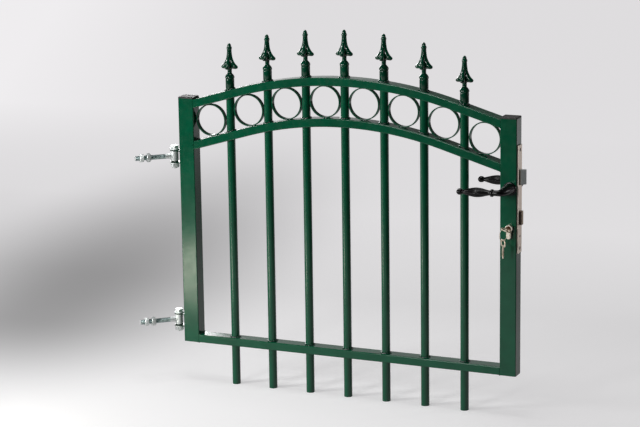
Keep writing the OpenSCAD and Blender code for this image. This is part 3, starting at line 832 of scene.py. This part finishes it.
def flat_key(name, place, node):
    """Key lying in place's XY plane, its bow's middle on the origin and its blade towards +Y."""
    key = Shape()
    outer, inner = oval(BOW_L, BOW_W, BOW_CORNER), oval(EYE_L, EYE_W, EYE_CORNER, EYE_OFF)
    rows = []
    # the bow's section, once round: up the inner edge, down the outer one, both with softened rims
    for ring, off, z, shrink in ((inner, EYE_OFF, -KEY_HALF, -0.04), (inner, EYE_OFF, -KEY_HALF + 0.3, 0),
                                 (inner, EYE_OFF, KEY_HALF - 0.3, 0), (inner, EYE_OFF, KEY_HALF, -0.04),
                                 (outer, 0, KEY_HALF, 0.05), (outer, 0, KEY_HALF - 0.4, 0),
                                 (outer, 0, -KEY_HALF + 0.4, 0), (outer, 0, -KEY_HALF, 0.05),
                                 (inner, EYE_OFF, -KEY_HALF, -0.04)):
        rows.append([place @ Vector((x * (1 - shrink), (y - off) * (1 - shrink) + off, z)) for x, y in ring])
    key.grid(rows, caps=False)
    neck = [(-NECK_HALF, 7), (NECK_HALF, 7), (NECK_HALF, 16), (-NECK_HALF, 16)]
    key.prism(neck, -KEY_HALF, KEY_HALF, place)
    blade = place @ Matrix.Translation((0, BLADE_START, 0))
    key.prism(blade_outline(), -KEY_HALF, KEY_HALF, blade)
    for x in KEY_GROOVES:
        groove = [(x - 0.35, 2), (x + 0.35, 2), (x + 0.35, BLADE_L - 2), (x - 0.35, BLADE_L - 2)]
        for z in (-KEY_HALF, KEY_HALF):
            key.prism(groove, z - 0.1, z + 0.02, blade)
    key.piece(name, shade_toned_nickel(), "key", "nickel_plate", 30, (node,))


class GATE_OT_keys(bpy.types.Operator):
    """Cut the two keys and coil the split ring."""

    bl_idname = "gate.keys"
    bl_label = "Keys and ring"

    def execute(self, context):
        plug = middle("cylinder_plug")
        bow = Vector((plug.x, span("door_key")[0].y + BOW_W / 2, plug.z))
        tilted = Matrix.Rotation(math.radians(20), 4, "Y")
        flat_key("cut_door_key", Matrix.Translation(bow) @ tilted, "door_key")
        # the spare key hangs from the ring, its blade down and its flat side turned
        ring = middle("key_ring")
        hang = Vector((ring.x, ring.y, span("spare_key")[1].z - BOW_W / 2))
        blade_down = Matrix(((0, 0, 1), (-1, 0, 0), (0, -1, 0))).to_4x4()
        turned = Matrix.Rotation(math.radians(43), 4, "Z")
        flat_key("cut_spare_key", Matrix.Translation(hang) @ turned @ blade_down, "spare_key")
        # two turns of wire side by side
        wire = 0.45
        lo, hi = span("key_ring")
        r = (hi.z - lo.z) / 2 - 2 * wire
        place = Matrix.Translation(ring) @ Matrix.Rotation(math.radians(-17), 4, "Z")
        steps = 144
        path = []
        for k in range(steps + 1):
            a = 4 * math.pi * k / steps + 0.6
            path.append(place @ Vector((-wire + 2 * wire * k / steps, r * math.cos(a), r * math.sin(a))))
        coil = Shape()
        coil.tube(path, lambda i: wire)
        coil.piece("split_ring", shade_toned_nickel(), "key", "nickel_plate", 60, ("key_ring",))
        return {"FINISHED"}


class GATE_OT_lock(bpy.types.Operator):
    """Add the screws of the lock's face plate and cylinder."""

    bl_idname = "gate.lock"
    bl_label = "Lock screws"

    def execute(self, context):
        lo, hi = span("lock_case")
        face = hi.x
        y = middle("lock_case").y
        sunk_head = [(2.0, -6), (2.2, -2.6), (4.2, -0.5), (4.25, -0.25), (3.9, -0.1), (2.2, -0.05)]
        screws = Shape()
        for z in (lo.z + 11, hi.z - 11):
            place = towards((face, y, z), (1, 0, 0), 0.4)
            screws.lathe(sunk_head, place, 32)
            # the two arms of a cross recess
            for turn in (0, math.pi / 2):
                arm = place @ Matrix.Rotation(turn, 4, "Z")
                screws.prism([(-1.9, -0.4), (1.9, -0.4), (1.9, 0.4), (-1.9, 0.4)], -0.2, -0.03, arm)
        screws.piece("face_plate_screws", browned_steel(), "leaf", "bright_zinc")
        fixing = Shape()
        place = towards((face, y, span("lock_cylinder")[0].z + 3), (1, 0, 0))
        fixing.lathe([(1.0, -0.2), (2.5, 0.0), (2.6, 0.12), (2.2, 0.3), (0.6, 0.35)], place, 28)
        fixing.piece("cylinder_fixing_screw", browned_steel(), "leaf", "nickel_plate", 40)
        return {"FINISHED"}


# ---------------------------------------------------------------- stage

# places, in metres, where reflections find the sheet darker, a painted shade that only reflections see: each is a
# product of fades, and a fade is (axis, start, end, value at its start, value at its end)
PAINTED_DARK_REFLECTIONS = (
    # behind the gate, except to the right
    (("Y", 0.9, 2.2, 0.35, 0.9), ("Y", 4.4, 9.5, 1.0, 0.0), ("X", 1.0, 1.7, 1.0, 0.0)),
    # a band farther behind, and all that lies behind to the right
    (("Y", 3.9, 4.9, 0.0, 0.9), ("Y", 6.5, 8.5, 1.0, 0.0)),
    (("Y", 4.4, 5.4, 0.0, 0.9), ("X", 1.5, 2.8, 0.0, 1.0)),
    # to the right of the gate, far in front of it, and high up
    (("X", 0.9, 1.8, 0.0, 0.9), ("Y", 1.2, 2.4, 1.0, 0.0)),
    (("Y", -2.0, -1.1, 0.96, 0.0),),
    (("Z", 2.6, 3.9, 0.0, 0.9),),
)
# how much lamp light the sheet gives back to the camera, and to the gate
SHEET_SEEN, SHEET_BOUNCE = 0.64, 0.2
# point of the floor below the key lamp
KEY_FOOT = (-1.9, -1.7, -0.15)
# (name, place, size, share of the power); all five aim at the middle of the leaf
LAMPS = (
    ("key_lamp", (-1.9, -1.7, 0.9), (0.8, 0.8), 0.4),
    ("back_lamp", (-2.2, 3.4, 1.2), (1.2, 1.2), 0.3),
    ("front_lamp", (-0.6, -4.0, 1.3), (0.9, 0.9), 0.4),
    ("side_lamp", (3.2, 1.9, 0.8), (0.8, 0.8), 0.05),
    ("top_lamp", (0.2, -0.2, 3.4), (2.2, 1.6), 0.27),
)
# the camera's place from the foot of the hinge stile, in millimetres, and its turn in degrees
CAMERA_PLACE = (2557.2, -4970.3, 1581.6)
CAMERA_TURN = (77.2138, 0.7959, 23.6219)


def combined(tree, operation, values):
    """Many values made one, two at a time."""
    total = values[0]
    for value in values[1:]:
        total = add(tree, "ShaderNodeMath", {0: total, 1: value}, operation=operation).outputs["Value"]
    return total


def sheet_glow(tree, place, axes):
    """Glow of the sheet: it grows with distance, and most to the far left."""
    aside = add(tree, "ShaderNodeVectorMath", {0: place, 1: (0.916, 0.4, 0)}, operation="DOT_PRODUCT")
    leftward = fade(0.2, -1.0, 0.162, 0.292)
    left = add(tree, "ShaderNodeMapRange", {"Value": aside.outputs["Value"], **leftward})
    far = add(tree, "ShaderNodeMapRange", {"Value": axes["Y"], **fade(0.867, 3.367, 0.0, 1.0)})
    near = add(tree, "ShaderNodeMapRange", {"Value": axes["Y"], **fade(0.926, 1.886, 0.45, 0.57)})
    whole = add(tree, "ShaderNodeMath", {0: far.outputs["Result"], 1: left.outputs["Result"],
                                         2: near.outputs["Result"]}, operation="MULTIPLY_ADD")
    return whole.outputs["Value"]


def painted_shadow_patch(tree, place):
    """Share of its light that the sheet keeps under a long soft painted shadow behind the hinge side."""
    length = add(tree, "ShaderNodeVectorMath", {0: place, 1: (-0.157, 0.988, 0)}, operation="DOT_PRODUCT")
    across = add(tree, "ShaderNodeVectorMath", {0: place, 1: (0.988, 0.157, 0)}, operation="DOT_PRODUCT")
    offset = add(tree, "ShaderNodeMath", {0: across.outputs["Value"], 1: 0.506}, operation="ADD")
    breadth = add(tree, "ShaderNodeMath", {0: offset.outputs["Value"]}, operation="ABSOLUTE")
    reaches = {}
    for axis, node, start, end in (("X", length, 0.667, 3.302), ("Y", length, 0.505, -0.433),
                                   ("Z", breadth, 0.01, 0.704)):
        value = node.outputs["Value"]
        reach = add(tree, "ShaderNodeMapRange", {"Value": value, **fade(start, end, 0.0, 1.0)})
        reaches[axis] = reach.outputs["Result"]
    ends = add(tree, "ShaderNodeCombineXYZ", reaches)
    edge = add(tree, "ShaderNodeVectorMath", {0: ends.outputs["Vector"]}, operation="LENGTH")
    kept = add(tree, "ShaderNodeMapRange", {"Value": edge.outputs["Value"], **fade(0.0, 1.0, 0.417, 1.0)},
               interpolation_type="SMOOTHSTEP")
    return kept.outputs["Result"]


def painted_dark_reflections(tree, axes, glossy):
    """Share of its light that the sheet loses for reflections, as painted shade."""
    places = []
    for fades in PAINTED_DARK_REFLECTIONS:
        parts = [add(tree, "ShaderNodeMapRange", {"Value": axes[axis], **fade(*values)}).outputs["Result"]
                 for axis, *values in fades]
        places.append(combined(tree, "MULTIPLY", parts))
    return combined(tree, "MULTIPLY", [combined(tree, "MAXIMUM", places), glossy])


def painted_shade_under_key_lamp(tree, place, camera):
    """Share of its light that the sheet loses below the key lamp for the camera, as painted shade, so that it
    doesn't flare there.
    """
    away = add(tree, "ShaderNodeVectorMath", {0: place, 1: KEY_FOOT}, operation="DISTANCE")
    near = add(tree, "ShaderNodeMapRange", {"Value": away.outputs["Value"], **fade(0.5, 2.2, 0.9, 0.0)})
    return combined(tree, "MULTIPLY", [near.outputs["Result"], camera])


def paper(code):
    """Matt paper: it shows the lamps' light and shadows, and glows for rays that look straight at it."""
    mat, tree = empty_material("paper_backdrop")
    place = add(tree, "ShaderNodeNewGeometry").outputs["Position"]
    axes = add(tree, "ShaderNodeSeparateXYZ", {"Vector": place}).outputs
    rays = add(tree, "ShaderNodeLightPath").outputs
    camera, glossy, through = (rays[f"Is {kind} Ray"] for kind in ("Camera", "Glossy", "Transmission"))
    # a painted shadow patch, painted shade that only reflections see, and painted shade under the key lamp darken
    # the sheet
    kept = [painted_shadow_patch(tree, place)]
    for lost in (painted_dark_reflections(tree, axes, glossy), painted_shade_under_key_lamp(tree, place, camera)):
        rest = add(tree, "ShaderNodeMath", {0: 1.0, 1: lost}, operation="SUBTRACT")
        kept.append(rest.outputs["Value"])
    glow = add(tree, "ShaderNodeEmission", {"Color": linear(code),
                                            "Strength": sheet_glow(tree, place, axes)})
    lit = add(tree, "ShaderNodeBsdfDiffuse", {"Color": (SHEET_SEEN, SHEET_SEEN, SHEET_SEEN, 1.0)})
    both = add(tree, "ShaderNodeAddShader", {0: glow.outputs["Emission"], 1: lit.outputs["BSDF"]})
    seen = add(tree, "ShaderNodeMixShader", {0: combined(tree, "MULTIPLY", kept), 2: both.outputs["Shader"]})
    bounce = add(tree, "ShaderNodeBsdfDiffuse", {"Color": (SHEET_BOUNCE, SHEET_BOUNCE, SHEET_BOUNCE, 1.0)})
    straight = combined(tree, "MAXIMUM", [camera, glossy, through])
    whole = add(tree, "ShaderNodeMixShader", {0: straight, 1: bounce.outputs["BSDF"],
                                              2: seen.outputs["Shader"]})
    add(tree, "ShaderNodeOutputMaterial", {"Surface": whole.outputs["Shader"]})
    return mat


def paper_sweep(ground, material):
    """Wide round floor, in metres, that curves up into a wall on every side."""
    centre, flat, bend, top = 0.4, 8.0, 3.0, 12.0
    sides, steps = 96, 16
    arc = [math.pi / 2 * k / steps for k in range(steps + 1)]
    profile = [(flat + bend * math.sin(a), bend - bend * math.cos(a)) for a in arc] + [(flat + bend, top)]
    points = [(centre, 0.0, ground)]
    for r, z in profile:
        points += [(centre + r * math.cos(a), r * math.sin(a), z + ground) for a in circle(sides)]
    faces = [(0, 1 + k, 1 + (k + 1) % sides) for k in range(sides)]
    for row in range(len(profile) - 1):
        low = 1 + row * sides
        high = low + sides
        faces += [(low + k, low + (k + 1) % sides, high + (k + 1) % sides, high + k) for k in range(sides)]
    mesh = bpy.data.meshes.new("paper_sweep")
    mesh.from_pydata(points, [], faces)
    mesh.materials.append(material)
    for poly in mesh.polygons:
        poly.use_smooth = True
    sweep = bpy.data.objects.new("paper_sweep", mesh)
    bpy.context.collection.objects.link(sweep)
    return sweep


def soft_lamp(name, place, size, power, aim, tint="#ffffff"):
    """Soft oval lamp, in metres and watts, that the camera doesn't see."""
    data = bpy.data.lights.new(name, "AREA")
    data.shape = "ELLIPSE"
    data.size, data.size_y = size
    data.energy = power
    data.color = linear(tint)[:3]
    lamp = bpy.data.objects.new(name, data)
    lamp.location = place
    lamp.rotation_euler = (aim - Vector(place)).to_track_quat("-Z", "Y").to_euler()
    lamp.visible_camera = False
    bpy.context.collection.objects.link(lamp)
    return lamp


class GATE_OT_stage(bpy.types.Operator):
    """Set the pale floor and backdrop, the soft lamps and the camera."""

    bl_idname = "gate.stage"
    bl_label = "Stage, lamps and camera"

    def execute(self, context):
        stage = context.scene.gate_stage
        ground = min(span(node)[0].z for node in numbered("picket")) * MM
        sweep = paper_sweep(ground, paper(stage.floor))
        self.light(stage.lamps, sweep, ground)
        world = bpy.data.worlds.new("studio")
        world.use_nodes = True
        context.scene.world = world
        world.node_tree.nodes["Background"].inputs["Color"].default_value = linear("#d9dbde")
        world.node_tree.nodes["Background"].inputs["Strength"].default_value = 0.06
        data = bpy.data.cameras.new("camera")
        data.lens = stage.lens
        data.sensor_width = 36.0
        data.sensor_fit = "HORIZONTAL"
        data.clip_start, data.clip_end = 0.1, 60.0
        camera = bpy.data.objects.new("camera", data)
        context.collection.objects.link(camera)
        camera.location = (LEAF + Vector(CAMERA_PLACE)) * MM
        camera.rotation_euler = [math.radians(turn) for turn in CAMERA_TURN]
        context.scene.camera = camera
        context.scene.view_settings.view_transform = "Standard"
        return {"FINISHED"}

    def light(self, power, sweep, ground):
        """The lamps round the gate, and a small warm one low in front of its bottom rail."""
        middle_of_leaf = Vector((MID_X, LEAF.y, LEAF.z + 300)) * MM
        lamps = {name: soft_lamp(name, place, size, power * share, middle_of_leaf)
                 for name, place, size, share in LAMPS}
        soft_lamp("low_lamp", (-0.2, -0.66, ground + 0.09), (0.26, 0.17), power * 0.0056,
                  Vector((0.1, 0, ground + 0.25)), "#fffde8")
        # the back lamp lights the gate and passes over the paper
        unlit = bpy.data.collections.new("not_lit_from_behind")
        unlit.objects.link(sweep)
        unlit.collection_objects[0].light_linking.link_state = "EXCLUDE"
        lamps["back_lamp"].light_linking.receiver_collection = unlit


class GATE_PT_panel(bpy.types.Panel):
    """Lists the steps that dress the gate."""

    bl_idname = "GATE_PT_panel"
    bl_label = "Garden gate"
    bl_space_type = "VIEW_3D"
    bl_region_type = "UI"
    bl_category = "Gate"

    def draw(self, context):
        for group in ("gate_finish", "gate_sizes", "gate_stage"):
            box = self.layout.box()
            settings = getattr(context.scene, group)
            for name in settings.__annotations__:
                box.prop(settings, name)
        for step in STEPS:
            self.layout.operator(step.bl_idname)


GROUPS = (("gate_finish", GateFinish), ("gate_sizes", GateSizes), ("gate_stage", GateStage))
STEPS = (GATE_OT_finishes, GATE_OT_spear_heads, GATE_OT_welds, GATE_OT_hinges, GATE_OT_levers, GATE_OT_keys,
         GATE_OT_lock, GATE_OT_stage)


def register():
    for name, group in GROUPS:
        bpy.utils.register_class(group)
        setattr(bpy.types.Scene, name, bpy.props.PointerProperty(type=group))
    for cls in (*STEPS, GATE_PT_panel):
        bpy.utils.register_class(cls)


def unregister():
    for cls in (GATE_PT_panel, *reversed(STEPS)):
        bpy.utils.unregister_class(cls)
    for name, group in reversed(GROUPS):
        delattr(bpy.types.Scene, name)
        bpy.utils.unregister_class(group)


def main():
    register()
    for step in STEPS:
        group, name = step.bl_idname.split(".")
        getattr(getattr(bpy.ops, group), name)()


if __name__ == "__main__":
    main()
